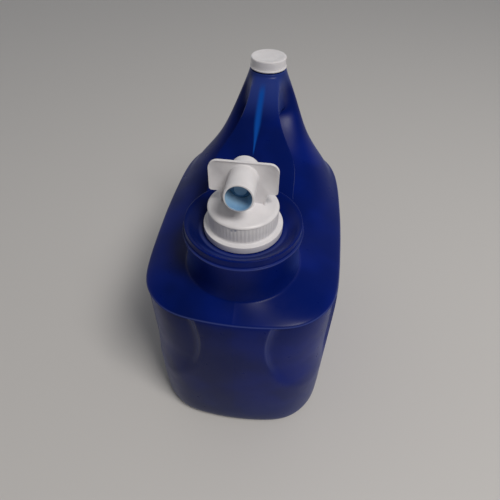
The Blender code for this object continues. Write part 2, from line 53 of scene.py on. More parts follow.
def addNode(tree, kind, settings=None, inputs=None):
    node = tree.nodes.new(kind)
    for name, value in (settings or {}).items():
        setattr(node, name, value)
    for name, value in (inputs or {}).items():
        if isinstance(value, bpy.types.NodeSocket):
            tree.links.new(value, node.inputs[name])
        else:
            node.inputs[name].default_value = value
    return node


def mapRange(tree, value, source, result=(0.0, 1.0), kind="SMOOTHSTEP"):
    return addNode(tree, "ShaderNodeMapRange", {"interpolation_type": kind}, {
        "Value": value, "From Min": source[0], "From Max": source[1],
        "To Min": result[0], "To Max": result[1]}).outputs["Result"]


def compute(tree, operation, first, second=0.0):
    return addNode(tree, "ShaderNodeMath", {"operation": operation}, {0: first, 1: second}).outputs[0]


def product(tree, value, *factors):
    for factor in factors:
        value = compute(tree, "MULTIPLY", value, factor)
    return value


def computeVector(tree, operation, first, second=(0, 0, 0)):
    return addNode(tree, "ShaderNodeVectorMath", {"operation": operation}, {0: first, 1: second}).outputs


def separate(tree, vector):
    return addNode(tree, "ShaderNodeSeparateXYZ", inputs={"Vector": vector}).outputs


def mixColours(tree, share, under, over):
    # each colour is a hex code or the output of another node
    under, over = [linearColour(tone) if isinstance(tone, str) else tone for tone in (under, over)]
    return addNode(tree, "ShaderNodeMix", {"data_type": "RGBA"}, {
        "Factor": share, "A": under, "B": over}).outputs["Result"]


def noise(tree, place, millimetres, detail, roughness):
    return addNode(tree, "ShaderNodeTexNoise", inputs={
        "Vector": place, "Scale": perMetre(millimetres), "Detail": detail,
        "Roughness": roughness}).outputs["Fac"]


def bump(tree, height, millimetres, under=None, strength=1.0):
    inputs = {"Height": height, "Distance": millimetres * mm, "Strength": strength}
    if under:
        inputs["Normal"] = under
    return addNode(tree, "ShaderNodeBump", inputs=inputs).outputs["Normal"]


def perMetre(millimetres):
    return 1 / (millimetres * mm)      # a texture scale whose grain has this size


def ease(share):
    share = min(max(share, 0), 1)
    return share * share * (3 - 2 * share)


def finishMesh(mesh, name, sharpAngle):
    mesh.name = name
    mesh.shade_smooth()
    mesh.set_sharp_from_angle(angle=math.radians(sharpAngle))


def makeObject(name, bm, material, sharpAngle=35):
    mesh = bpy.data.meshes.new(name)
    bm.to_mesh(mesh)
    bm.free()
    thing = bpy.data.objects.new(name, mesh)
    scene.collection.objects.link(thing)
    mesh.materials.append(material)
    finishMesh(mesh, name, sharpAngle)
    return thing


def applyModifiers(thing):
    evaluated = thing.evaluated_get(bpy.context.evaluated_depsgraph_get())
    mesh = bpy.data.meshes.new_from_object(evaluated)
    thing.modifiers.clear()
    thing.data = mesh


def roundEdges(bm, edges, offset):
    bmesh.ops.bevel(bm, geom=edges, offset=offset, affect="EDGES", segments=2, profile=0.5, material=-1)


def extrudeFace(bm, face, offset):
    grown = bmesh.ops.extrude_face_region(bm, geom=[face])["geom"]
    corners = [item for item in grown if isinstance(item, bmesh.types.BMVert)]
    bmesh.ops.translate(bm, verts=corners, vec=offset)
    bmesh.ops.recalc_face_normals(bm, faces=bm.faces)


# Camera, at the photograph's height, tilt and lens

cameraValues = {
    "place": (0.0301, -0.2759, 0.3911),
    "pitch": 45.57,
    "roll": 1.10,
    "yaw": 6.63,
    "lens": 30.70,
    "sensor": 36.0,
    "nearest": 0.01,
}


def makeCamera(values):
    pitch = math.radians(values["pitch"])
    ahead = Vector((0, math.cos(pitch), -math.sin(pitch)))
    up = Vector((0, math.sin(pitch), math.cos(pitch)))
    axes = Matrix((ahead.cross(up), up, -ahead)).transposed()
    roll = Matrix.Rotation(-math.radians(values["roll"]), 3, ahead)
    yaw = Matrix.Rotation(math.radians(values["yaw"]), 3, "Z")
    camera = bpy.data.objects.new("camera", bpy.data.cameras.new("camera"))
    scene.collection.objects.link(camera)
    camera.matrix_world = Matrix.Translation(values["place"]) @ (yaw @ roll @ axes).to_4x4()
    camera.data.sensor_width = values["sensor"]
    camera.data.lens = values["lens"]
    camera.data.clip_start = values["nearest"]
    scene.camera = camera


makeCamera(cameraValues)


# Studio: pale floor, one soft lamp and a pale room

studioValues = {
    "floorSize": 6.0, "floorColour": "#cccac8", "floorRoughness": 0.55,
    "worldColour": "#fbfcff",
    # levels of light: dimmer towards the ceiling and on the side of the viewer
    "frontLevel": 0.14, "rearLevel": 0.64, "ceilingLevel": 0.16,
    "wallTop": 0.30, "ceilingStart": 0.78, "sideBlend": 0.60,
    "lampPlace": (0.70, -0.66, 1.60), "lampAim": (0, 0, 0.12), "lampSize": 0.60,
    "lampPower": 20.5, "lampColour": "#fffbf6",
}


def makeFloor(values):
    material = bpy.data.materials.new("paleFloor")
    material.use_nodes = True
    shader = material.node_tree.nodes["Principled BSDF"]
    shader.inputs["Base Color"].default_value = linearColour(values["floorColour"])
    shader.inputs["Roughness"].default_value = values["floorRoughness"]
    bm = bmesh.new()
    bmesh.ops.create_grid(bm, x_segments=1, y_segments=1, size=values["floorSize"] / 2)
    floor = makeObject("floor", bm, material)


def makeLamp(values):
    lamp = bpy.data.lights.new("keyLamp", "AREA")
    lamp.shape = "RECTANGLE"
    lamp.size = values["lampSize"]
    lamp.size_y = values["lampSize"]
    lamp.energy = values["lampPower"]
    lamp.color = linearColour(values["lampColour"])[:3]
    thing = bpy.data.objects.new("keyLamp", lamp)
    scene.collection.objects.link(thing)
    thing.location = values["lampPlace"]
    downward = Vector(values["lampAim"]) - Vector(values["lampPlace"])
    thing.rotation_euler = downward.to_track_quat("-Z", "Y").to_euler()


def makeRoom(values):
    world = bpy.data.worlds.new("studio")
    world.use_nodes = True
    tree = world.node_tree
    heading = separate(tree, addNode(tree, "ShaderNodeTexCoord").outputs["Generated"])
    wall = mapRange(tree, heading["Y"], (-values["sideBlend"], values["sideBlend"]),
                    (values["frontLevel"], values["rearLevel"]))
    level = mapRange(tree, heading["Z"], (values["wallTop"], values["ceilingStart"]),
                     (wall, values["ceilingLevel"]))
    tree.links.new(level, tree.nodes["Background"].inputs["Strength"])
    tree.nodes["Background"].inputs["Color"].default_value = linearColour(values["worldColour"])
    scene.world = world
    scene.view_settings.view_transform = "Standard"


makeFloor(studioValues)
makeLamp(studioValues)
makeRoom(studioValues)
print("studio and camera made")


# Materials

def startMaterial(name):
    material = bpy.data.materials.new(name)
    material.use_nodes = True
    tree = material.node_tree
    tree.nodes.clear()
    place = addNode(tree, "ShaderNodeTexCoord").outputs["Object"]
    shader = addNode(tree, "ShaderNodeBsdfPrincipled")
    addNode(tree, "ShaderNodeOutputMaterial", inputs={"Surface": shader.outputs["BSDF"]})
    return material, tree, place, shader


# High-density polyethylene, blow moulded and pigmented: a deep glossy blue with soft blurred
# reflections, a little waviness from the blowing and a fine grain from the blasted mould.
blueHdpe = {
    "colour": "#00114d",
    "thinAndPaintedLightColour": "#021d7a",         # where the wall is thin, and painted light on the right side
    "paintedFloorReflectionColour": "#152650",         # painted reflection of the floor, paler on the lower walls
    "paintedSheenColour": "#334689",         # painted sheen: paler where the surface is seen at a slant
    "paintedSeamLightColour": "#07469c",         # painted light shining through the thin plastic beside the parting line on the bar
    "paintedHighlightColour": "#56629a",          # painted highlights along the edges and in the rims of the hollows
    "ior": 1.54, "specularLevel": 0.09,
    "glossSize": 12.0, "glossRange": (0.3, 0.7), "roughness": (0.27, 0.35),
    "waveSize": 26.0, "waveDepth": 0.22,
    "grainSize": 0.9, "grainDepth": 0.010,     # drawn coarser than the real 0.3 mm so that it shows
    "blotchSize": 45.0, "blotchRange": (0.40, 0.68), "blotchShare": 0.40,
    "paintedLightSide": (-0.030, 0.070), "paintedLightShare": 0.35,
    "paintedFloorReflectionFrom": (0.070, 0.004), "paintedFloorReflectionShare": 0.45,
    "slantRange": (0.60, 1.0), "slantShare": 0.75,
    "paintedSheenFrom": (0.120, 0.170), "paintedSheenShare": 0.5,
    "neckSheenFrom": (0.2190, 0.2330), "neckSheenShare": 0.50,
    "streakAside": 0.0018, "streakGrows": (0.010, 0.036), "streakHalf": (0.0007, 0.0030),
    "streakSoft": (1.25, 0.2), "streakRear": (0.076, 0.060), "streakFront": (0.005, 0.013),
    "streakSlope": (0.35, 0.6),
    "hollowAside": 0.0710, "hollowHeight": 0.1280, "hollowRadius": 0.0480, "hollowSquash": 0.72,
    "lipWidth": 0.0016, "lipDepth": 0.45, "lipFrom": (0.085, 0.115), "lipTop": 0.1512,
    "frontOnly": -0.080, "bandWide": 0.0048, "bandShare": 0.16,
    "rubHeight": 0.1514, "rubTall": 0.0008, "rubShare": 0.40,
    "ledgeHeight": 0.1920, "ledgeTall": 0.0007, "ledgeShare": 0.35, "ledgeFront": (-0.050, -0.078),
}


def makeBlueHdpe(values):
    material, tree, place, shader = startMaterial("blueHdpeBlowMoulded")
    shader.inputs["IOR"].default_value = values["ior"]
    shader.inputs["Specular IOR Level"].default_value = values["specularLevel"]
    parts = separate(tree, place)

    # thin places in soft blotches, and painted light making the right side lighter
    blotch = noise(tree, place, values["blotchSize"], 2.0, 0.5)
    thinAndPaintedLight = mapRange(tree, blotch, values["blotchRange"], (0.0, values["blotchShare"]))
    paintedSideLight = mapRange(tree, parts["X"], values["paintedLightSide"], (0.0, values["paintedLightShare"]))
    thinAndPaintedLight = compute(tree, "ADD", thinAndPaintedLight, paintedSideLight)
    colour = mixColours(tree, thinAndPaintedLight, values["colour"], values["thinAndPaintedLightColour"])
    # painted reflection: the lower walls paler, as if they reflected the floor
    paintedFloorReflection = mapRange(tree, parts["Z"], values["paintedFloorReflectionFrom"], (0.0, values["paintedFloorReflectionShare"]))
    colour = mixColours(tree, paintedFloorReflection, colour, values["paintedFloorReflectionColour"])

    # painted sheen: paler at a slant, more so above, and all round the vent's shoulder
    slant = addNode(tree, "ShaderNodeLayerWeight", inputs={"Blend": 0.5}).outputs["Facing"]
    grazing = mapRange(tree, slant, values["slantRange"], (0.0, values["slantShare"]))
    upper = mapRange(tree, parts["Z"], values["paintedSheenFrom"], (values["paintedSheenShare"], 1.0))
    neck = mapRange(tree, parts["Z"], values["neckSheenFrom"], (0.0, values["neckSheenShare"]))
    paintedSheen = compute(tree, "MAXIMUM", product(tree, grazing, upper), neck)
    colour = mixColours(tree, paintedSheen, colour, values["paintedSheenColour"])

    # painted light: a bright streak on the crest of the bar, widest near the vent, as if light shone through
    # the thin wall
    half = mapRange(tree, parts["Y"], values["streakGrows"], values["streakHalf"])
    away = compute(tree, "ABSOLUTE", compute(tree, "ADD", parts["X"], values["streakAside"]))
    across = mapRange(tree, compute(tree, "DIVIDE", away, half), values["streakSoft"])
    rear, front = [mapRange(tree, parts["Y"], values[end]) for end in ("streakRear", "streakFront")]
    upward = separate(tree, addNode(tree, "ShaderNodeTexCoord").outputs["Normal"])["Z"]
    onTop = mapRange(tree, upward, values["streakSlope"], kind="LINEAR")
    paintedSeamStreak = product(tree, across, rear, front, onTop)
    colour = mixColours(tree, paintedSeamStreak, colour, values["paintedSeamLightColour"])

    gloss = noise(tree, place, values["glossSize"], 4.0, 0.6)
    roughness = mapRange(tree, gloss, values["glossRange"], values["roughness"], "LINEAR")
    tree.links.new(roughness, shader.inputs["Roughness"])

    # crisp lip round the two hollows pressed into the front wall, over the waviness
    wavy = bump(tree, noise(tree, place, values["waveSize"], 1.0, 0.4), values["waveDepth"])
    radius, wide = values["hollowRadius"], values["lipWidth"]
    aside = compute(tree, "SUBTRACT", compute(tree, "ABSOLUTE", parts["X"]), values["hollowAside"])
    above = compute(tree, "SUBTRACT", parts["Z"], values["hollowHeight"])
    offset = addNode(tree, "ShaderNodeCombineXYZ", inputs={
        "X": aside, "Z": product(tree, above, values["hollowSquash"])})
    away = computeVector(tree, "LENGTH", offset.outputs["Vector"])["Value"]
    lip = mapRange(tree, away, (radius - wide, radius))
    onFront = compute(tree, "LESS_THAN", parts["Y"], values["frontOnly"])
    below = compute(tree, "LESS_THAN", parts["Z"], values["lipTop"])
    shown = product(tree, onFront, mapRange(tree, parts["Z"], values["lipFrom"]), below)
    lipped = bump(tree, lip, values["lipDepth"], wavy, shown)

    # painted highlights: pale in the rims of the hollows, along the shoulder's edge and the boss's ledge
    band = mapRange(tree, away, (radius - values["bandWide"], radius - wide), (0.0, values["bandShare"]))
    within = mapRange(tree, away, (radius + wide / 3, radius - wide / 3))
    paintedHighlights = product(tree, shown, band, within)
    ahead = mapRange(tree, parts["Y"], values["ledgeFront"])
    for edge, where in (("rub", 1.0), ("ledge", ahead)):
        off = compute(tree, "ABSOLUTE", compute(tree, "SUBTRACT", parts["Z"], values[edge + "Height"]))
        mark = mapRange(tree, off, (values[edge + "Tall"], 0.0), (0.0, values[edge + "Share"]))
        paintedHighlights = compute(tree, "MAXIMUM", paintedHighlights, product(tree, mark, where))
    colour = mixColours(tree, paintedHighlights, colour, values["paintedHighlightColour"])
    tree.links.new(colour, shader.inputs["Base Color"])
    grain = noise(tree, place, values["grainSize"], 2.0, 0.6)
    tree.links.new(bump(tree, grain, values["grainDepth"], lipped), shader.inputs["Normal"])
    return material


# Polypropylene, injection moulded in white: satin, slightly warm, very faintly uneven.
whitePolypropylene = {
    "colour": "#e1dfe1", "dimColour": "#d1cfd2", "ior": 1.49,
    "cloudSize": 9.0, "cloudRange": (0.3, 0.7), "roughness": (0.34, 0.46),
    "scatter": 0.12, "scatterDepth": 1.2, "scatterReach": (1.0, 0.9, 0.8),
    "grainSize": 0.6, "grainDepth": 0.006, "grainDetail": (2.0, 0.6),
}

# Thermoplastic elastomer of the push button: softer and duller than the cap beside it.
whiteElastomer = {
    **whitePolypropylene, "colour": "#dfdcd9", "dimColour": "#cfccca", "ior": 1.50,
    "roughness": (0.50, 0.62), "scatter": 0.2, "grainSize": 0.5, "grainDepth": 0.010,
}

# Polypropylene rod, moulded and stained pale blue by the detergent it works in.
stainedPolypropylene = {
    **whitePolypropylene, "colour": "#7fa3c0", "dimColour": "#6f97b8",
    "roughness": (0.25, 0.40), "scatter": 0.1,
}

# Nitrile rubber disc, moulded, under a wet film of detergent that makes it look blue.
wetRubber = {
    **whitePolypropylene, "colour": "#3d6a92", "dimColour": "#4f7fa8", "ior": 1.52,
    "cloudSize": 3.5, "cloudRange": (0.35, 0.65), "roughness": (0.16, 0.34), "scatter": 0.0,
    "grainSize": 1.8, "grainDepth": 0.12, "grainDetail": (1.0, 0.5),
}


def makeClouded(name, values):
    # two close tones in soft clouds, a gloss that follows them and a fine relief
    material, tree, place, shader = startMaterial(name)
    shader.inputs["IOR"].default_value = values["ior"]
    shader.inputs["Subsurface Weight"].default_value = values["scatter"]
    shader.inputs["Subsurface Scale"].default_value = values["scatterDepth"] * mm
    shader.inputs["Subsurface Radius"].default_value = values["scatterReach"]
    cloud = noise(tree, place, values["cloudSize"], 3.0, 0.5)
    tint = mixColours(tree, cloud, values["colour"], values["dimColour"])
    roughness = mapRange(tree, cloud, values["cloudRange"], values["roughness"], "LINEAR")
    grain = noise(tree, place, values["grainSize"], *values["grainDetail"])
    tree.links.new(tint, shader.inputs["Base Color"])
    tree.links.new(roughness, shader.inputs["Roughness"])
    tree.links.new(bump(tree, grain, values["grainDepth"]), shader.inputs["Normal"])
    return material


# Cut discs and rings of expanded polyethylene: matt, off-white, with fine closed cells.
polyethyleneFoam = {
    "colour": "#dcdcd6", "dimColour": "#c6c8c4", "ior": 1.51, "roughness": 0.85,
    "cell": 0.45, "depth": 0.05, "strength": 0.8,
}


def makeFoam(values):
    material, tree, place, shader = startMaterial("polyethyleneFoamExpanded")
    shader.inputs["IOR"].default_value = values["ior"]
    shader.inputs["Roughness"].default_value = values["roughness"]
    cells = addNode(tree, "ShaderNodeTexVoronoi", inputs={
        "Vector": place, "Scale": perMetre(values["cell"])}).outputs["Distance"]
    tint = mixColours(tree, cells, values["dimColour"], values["colour"])
    pitted = bump(tree, cells, values["depth"], strength=values["strength"])
    tree.links.new(tint, shader.inputs["Base Color"])
    tree.links.new(pitted, shader.inputs["Normal"])
    return material


blue = makeBlueHdpe(blueHdpe)
white = makeClouded("whitePolypropyleneMoulded", whitePolypropylene)
elastomer = makeClouded("thermoplasticElastomerMoulded", whiteElastomer)
stained = makeClouded("polypropyleneRodStained", stainedPolypropylene)
rubber = makeClouded("nitrileRubberWetMoulded", wetRubber)
foam = makeFoam(polyethyleneFoam)
print("materials made")


# Jug: rings of corners bridged into a cage, smoothed, dimpled and given its wall

jug = {
    "width": 0.1510, "depth": 0.2330,
    "sideBulge": 0.0025, "endBulge": 0.0015,
    "cornerRadius": 0.0480, "rearCornerRadius": 0.0570,
    "shoulderHeight": 0.1540, "shoulderRadius": 0.0070,
    "baseRadius": 0.0100, "footWidth": 0.0180, "baseRecess": 0.0025,
    "wall": 0.0015,
    "levels": 3, "sharpAngle": 60,
    "footShares": (0, 0.25, 0.75, 1), "wallShares": (0.18, 0.34, 0.5, 0.66, 0.82, 0.95),
    "bossBlend": 0.55, "flareBlend": 0.5, "flareClimb": 0.35,
    "seamWidth": 0.0007, "seamRise": 0.00003,
}
dimple = {
    "height": 0.1280, "radius": 0.0480, "rise": 0.0580, "fall": 0.0720, "gap": 0.0460,
    "depth": 0.0024, "ramp": 0.14, "fadeFrom": 0.1000, "fadeTo": 0.0550, "rearShare": 0.8,
}
boss = {
    "setback": 0.0570, "radius": 0.0418, "footRise": 0.0060, "height": 0.0382,
    "waistShares": ((1, 0), (0.95, 0.25), (0.96, 0.68)),      # radius, height
    "ledge": 0.0014, "rimHeight": 0.0064, "rimWidth": 0.0030,
    "dishDepth": 0.0075, "dishRadius": 0.0312,
    "neckRadius": 0.0195, "neckHeight": 0.0160,
}
vent = {
    "setback": 0.0227, "shoulderRadius": 0.0157, "shoulderHeight": 0.2385,
    "neckRadius": 0.0120, "neckHeight": 0.0070,
}
bar = {
    "frontWidth": 0.0640, "rearWidth": 0.0330, "thickness": 0.0240,
    "alongShares": ((0.20, 1.14, 0.12), (0.44, 0.24, 0.04), (0.70, -0.30, 0.13)),
    "topShares": (1, 0.5, 0, -0.5, -1), "underShares": (-0.8, -0.42, 0, 0.42, 0.8),
    "bellyShare": 0.55, "bellyWidthShare": 1.02, "underShare": 1.12,
}
# Flare under the vent: front and rear reach, half-width, front and rear climb, squareness
flareShares = (
    (0.40, 0.85, 0.76, 0.10, 0.12, 2.4), (0.66, 0.88, 0.61, 0.20, 0.26, 2.3),
    (0.85, 0.90, 0.50, 0.34, 0.40, 2.2), (1.02, 0.92, 0.42, 0.49, 0.54, 2.1),
    (1.11, 0.94, 0.350, 0.65, 0.67, 2.0), (1.11, 0.97, 0.280, 0.81, 0.82, 2.0),
    (1.00, 1.00, 0.225, 0.95, 0.95, 2.0))
# Saddle between boss and flare: place along the reach, then aside, back and down
saddleShare = 0.18
saddleShares = ((0.70, -0.9, 0.5), (0.34, -0.15, 0.1), (0, 0, 0), (-0.34, -0.15, 0.1), (-0.70, -0.9, 0.5))
creases = {
    "shoulder": 0.35, "bossFoot": 0.8, "bossEdge": 0.6, "ledge": 0.5, "ledgeTop": 0.45,
    "bar": 0.6, "ventShoulder": 0.5, "mouth": 1.0,
}
ringCorners = 16     # corners in each round ring
fittingRounds = 12   # corrections that bring a ring's smoothed curve to its points
onMiddle = 1e-5      # corners nearer to the middle plane than this lie on it

halfWidth = jug["width"] / 2
halfDepth = jug["depth"] / 2
tapY = boss["setback"] - halfDepth
ventY = halfDepth - vent["setback"]
bossTop = jug["shoulderHeight"] + boss["height"]
rimTop = bossTop + boss["rimHeight"]
dishFloor = rimTop - boss["dishDepth"]
neckTop = dishFloor + boss["neckHeight"]
ventNeckTop = vent["shoulderHeight"] + vent["neckHeight"]


def pushedOut(points):
    # ring whose smoothed curve passes through the points
    corners = list(points)
    for fitting in range(fittingRounds):
        limits = [(corners[i - 1] + 4 * corners[i] + corners[(i + 1) % len(corners)]) / 6
                  for i in range(len(corners))]
        corners = [corner + point - limit for corner, point, limit in zip(corners, points, limits)]
    return corners


def planPoints(inset, height):
    # rounded rectangle with bulging sides, from the front middle round by the right
    halfX, halfY = halfWidth - inset, halfDepth - inset
    right = []
    for end, corner in ((-1, jug["cornerRadius"]), (1, jug["rearCornerRadius"])):
        radius = max(corner - inset, corner / 6)
        cornerX = halfX - jug["sideBulge"] - radius
        cornerY = halfY - jug["endBulge"] - radius
        quarter = [(0, end * halfY)]
        for angle in (0, 30, 60, 90):
            turn = math.radians(angle)
            quarter.append((cornerX + radius * math.sin(turn), end * (cornerY + radius * math.cos(turn))))
        quarter.append((halfX - jug["sideBulge"] / 4, end * cornerY / 2))
        right += quarter if end < 0 else [(halfX, 0)] + quarter[::-1]
    left = [(-x, y) for x, y in right[-2:0:-1]]
    return [Vector((p.x, p.y, height)) for p in pushedOut([Vector((x, y, 0)) for x, y in right + left])]


def loopPoints(centreY, radius, height, tilt=0, depth=None, squareness=2):
    depth = depth or radius
    points = []
    for index in range(ringCorners):
        angle = math.tau * index / ringCorners
        x = radius * math.copysign(abs(math.sin(angle)) ** (2 / squareness), math.sin(angle))
        y = -depth * math.copysign(abs(math.cos(angle)) ** (2 / squareness), math.cos(angle))
        points.append(Vector((x, centreY + y, height + tilt * y / depth)))
    return pushedOut(points)


def addRing(bm, points):
    made = bmesh.ops.create_circle(bm, segments=len(points), radius=1)["verts"]
    made.sort(key=lambda corner: round(math.atan2(corner.co.x, corner.co.y) % math.tau, 4))
    for corner, point in zip(made, points):
        corner.co = point
    return made


def ringEdges(bm, ring):
    return [bm.edges.get(pair) for pair in zip(ring, ring[1:] + ring[:1])]


def growRings(bm, ring, levels):
    # extrudes a ring of corners again and again, each time to the next level's points
    rings = [ring]
    for points in levels:
        grown = bmesh.ops.extrude_edge_only(bm, edges=ringEdges(bm, rings[-1]))["geom"]
        fresh = {item for item in grown if isinstance(item, bmesh.types.BMVert)}
        upper = [next(e.other_vert(corner) for e in corner.link_edges if e.other_vert(corner) in fresh)
                 for corner in rings[-1]]
        for corner, point in zip(upper, points):
            corner.co = point
        rings.append(upper)
    return rings


def bridgeRings(bm, lower, upper):
    bmesh.ops.bridge_loops(bm, edges=ringEdges(bm, lower) + ringEdges(bm, upper))


def cutOpening(bm, rows, columns):
    # takes out the faces between rows and columns and gives the loop of corners round the gap
    bottom, middle, top = rows
    gone = [corner for row in rows for corner in (row[c] for c in columns)]
    faces = [f for f in bm.faces if all(v in gone for v in f.verts)]
    bmesh.ops.delete(bm, geom=faces, context="FACES")
    return ([top[c] for c in columns] + [middle[columns[-1]]]
            + [bottom[c] for c in reversed(columns)] + [middle[columns[0]]])


def crease(bm, corners, amount, closed=True):
    layer = bm.edges.layers.float.get("crease_edge")
    pairs = list(zip(corners, corners[1:])) + ([(corners[-1], corners[0])] if closed else [])
    for pair in pairs:
        bm.edges.get(pair)[layer] = amount


def buildJugCage():
    bm = bmesh.new()
    bm.edges.layers.float.new("crease_edge")

    # Foot, walls and shoulder edge
    shoulder, radius, base = jug["shoulderHeight"], jug["shoulderRadius"], jug["baseRadius"]
    footInner = base + jug["footWidth"]
    profile = [(footInner + 2 * jug["baseRecess"], jug["baseRecess"])]
    profile += [(footInner - jug["footWidth"] * share, 0) for share in jug["footShares"]]
    profile += [(base / 5, base / 6), (0, base)]
    profile += [(0, base + (shoulder - 2 * base) * share) for share in jug["wallShares"]]
    profile += [(radius / 8, shoulder - radius / 3), (radius * 0.8, shoulder)]
    levels = [planPoints(inset, height) for inset, height in profile]
    walls = growRings(bm, addRing(bm, levels[0]), levels[1:])
    bmesh.ops.contextual_create(bm, geom=ringEdges(bm, walls[0]))
    crease(bm, walls[-2], creases["shoulder"])

    # Boss under the tap, from its foot to the mouth of the neck
    foot = shoulder + boss["footRise"]
    outer, ledge = boss["radius"], boss["radius"] - boss["ledge"]
    profile = [(outer * wide, foot + (bossTop - foot) * up) for wide, up in boss["waistShares"]]
    profile += [(outer, bossTop), (ledge, bossTop + boss["ledge"] / 5), (ledge, rimTop),
                (ledge - boss["rimWidth"], rimTop - boss["rimWidth"] / 5),
                (boss["dishRadius"], dishFloor), (boss["neckRadius"] + jug["wall"] / 4, dishFloor),
                (boss["neckRadius"], dishFloor + jug["wall"] / 4), (boss["neckRadius"], neckTop)]
    levels = [loopPoints(tapY, radius, height) for radius, height in profile]
    bossRings = growRings(bm, addRing(bm, levels[0]), levels[1:])

    # Flare that climbs to the vent, then the vent's shoulder and neck
    climb = vent["shoulderHeight"] - shoulder
    ventFront, ventRear = ventY - vent["shoulderRadius"], ventY + vent["shoulderRadius"]
    reach = ventFront - (tapY + boss["radius"])
    levels = []
    for frontShare, rearShare, widthShare, frontClimb, rearClimb, squareness in flareShares:
        frontY = ventFront - reach * (1 - frontShare)
        rearY = halfDepth + (ventRear - halfDepth) * rearShare
        frontZ, rearZ = shoulder + climb * frontClimb, shoulder + climb * rearClimb
        levels.append(loopPoints(
            (frontY + rearY) / 2, halfWidth * widthShare, (frontZ + rearZ) / 2,
            tilt=(rearZ - frontZ) / 2, depth=(rearY - frontY) / 2, squareness=squareness))
    neck, top, wall = vent["neckRadius"], vent["shoulderHeight"], jug["wall"]
    levels += [loopPoints(ventY, radius, height) for radius, height in (
        (vent["shoulderRadius"], top), (neck + wall / 4, top + wall / 3),
        (neck, top + wall * 1.5), (neck, ventNeckTop))]
    ventRings = growRings(bm, addRing(bm, levels[0]), levels[1:])

    # Skirt on the shoulder, split into a loop round the boss and one round the flare
    splitZ = shoulder + boss["footRise"] / 2
    rim = walls[-1]
    bossSplit, ventSplit = [None] * ringCorners, [None] * ringCorners
    for step in range(-5, 6):
        place = rim[step].co.lerp(bossRings[0][step].co, jug["bossBlend"])
        bossSplit[step] = Vector((place.x, place.y, splitZ))
    for index in range(3, 14):
        inner = ventRings[0][index].co
        place = rim[index + 4].co.lerp(inner, jug["flareBlend"])
        ventSplit[index] = Vector((place.x, place.y, splitZ + (inner.z - splitZ) * jug["flareClimb"]))
    saddleY = tapY + boss["radius"] + reach * saddleShare
    for step, (xShare, backShare, dropShare) in enumerate(saddleShares):
        corner = Vector((halfWidth * xShare, saddleY + reach * saddleShare * backShare,
                         shoulder + boss["footRise"] * (1 - dropShare)))
        bossSplit[6 + step] = corner
        ventSplit[2 - step] = corner.copy()
    bossSplit, ventSplit = addRing(bm, bossSplit), addRing(bm, ventSplit)
    twins = {ventSplit[2 - step]: bossSplit[6 + step] for step in range(5)}
    bmesh.ops.weld_verts(bm, targetmap=twins)
    ventSplit = [twins.get(corner, corner) for corner in ventSplit]
    outline = [bossSplit[step] for step in range(-6, 7)] + ventSplit[3:14]
    bridgeRings(bm, bossSplit, bossRings[0])
    bridgeRings(bm, ventSplit, ventRings[0])
    bridgeRings(bm, rim, outline)

    # Hollow bar between an opening in the boss and one in the flare
    frontLoop = cutOpening(bm, bossRings[1:4], [6, 7, 8, 9, 10])
    rearLoop = cutOpening(bm, ventRings[4:7], [2, 1, 0, 15, 14])
    start, end = Vector((0, tapY + boss["radius"], bossTop)), Vector((0, ventFront, top))
    along = end - start
    down = Vector((0, along.z, -along.y)).normalized() * bar["thickness"]
    levels = []
    for alongShare, widthShare, riseShare in bar["alongShares"]:
        crest = start + along * alongShare
        half = (bar["rearWidth"] + (bar["frontWidth"] - bar["rearWidth"]) * widthShare) / 2
        belly, under = crest + down * bar["bellyShare"], crest + down * bar["underShare"]
        side = Vector((half * bar["bellyWidthShare"], 0, 0))
        crest -= down * riseShare
        points = [crest + Vector((half * share, 0, 0)) for share in bar["topShares"]] + [belly - side]
        points += [under + Vector((half * share, 0, 0)) for share in bar["underShares"]] + [belly + side]
        levels.append(points)
    loops = growRings(bm, frontLoop, levels) + [rearLoop]
    bridgeRings(bm, loops[-2], rearLoop)
    for side in (0, 4):
        crease(bm, [loop[side] for loop in loops], creases["bar"], closed=False)

    bossEdge = [bossRings[3][step] for step in range(-6, 7)]
    crease(bm, bossEdge, creases["bossEdge"], closed=False)
    for ring, kind in ((bossRings[0], "bossFoot"), (bossRings[4], "ledge"), (bossRings[5], "ledgeTop"),
                       (bossRings[-1], "mouth"), (ventRings[-4], "ventShoulder"), (ventRings[-1], "mouth")):
        crease(bm, ring, creases[kind])
    bmesh.ops.recalc_face_normals(bm, faces=bm.faces)
    return bm


def acrossFront(place):
    # distance from the centre line along the front wall and round its corner
    flat, corner = halfWidth - jug["cornerRadius"], jug["cornerRadius"]
    x = abs(place.x)
    if x <= flat:
        return x
    cornerY = corner - halfDepth
    angle = math.atan2(x - flat, cornerY - place.y) if place.y < cornerY else math.pi / 2
    return flat + corner * angle + max(place.y - cornerY, 0)


def pressDimples(mesh):
    centre = dimple["gap"] / 2 + dimple["radius"]
    for vertex in mesh.vertices:
        place = vertex.co
        if place.z > jug["shoulderHeight"] - jug["shoulderRadius"] / 2:
            continue
        if place.y > dimple["radius"] * dimple["rearShare"] - halfDepth:
            continue
        across = acrossFront(place)
        up = place.z - dimple["height"]
        reach = dimple["rise"] if up > 0 else dimple["fall"]
        share = math.hypot((across - centre) / dimple["radius"], up / reach)
        fade = ease((place.z - dimple["fadeTo"]) / (dimple["fadeFrom"] - dimple["fadeTo"]))
        depth = dimple["depth"] * fade * ease((1 - share) / dimple["ramp"])
        inward = Vector((-math.copysign(ease(across / centre), place.x), 1, 0)).normalized()
        vertex.co = place + inward * depth


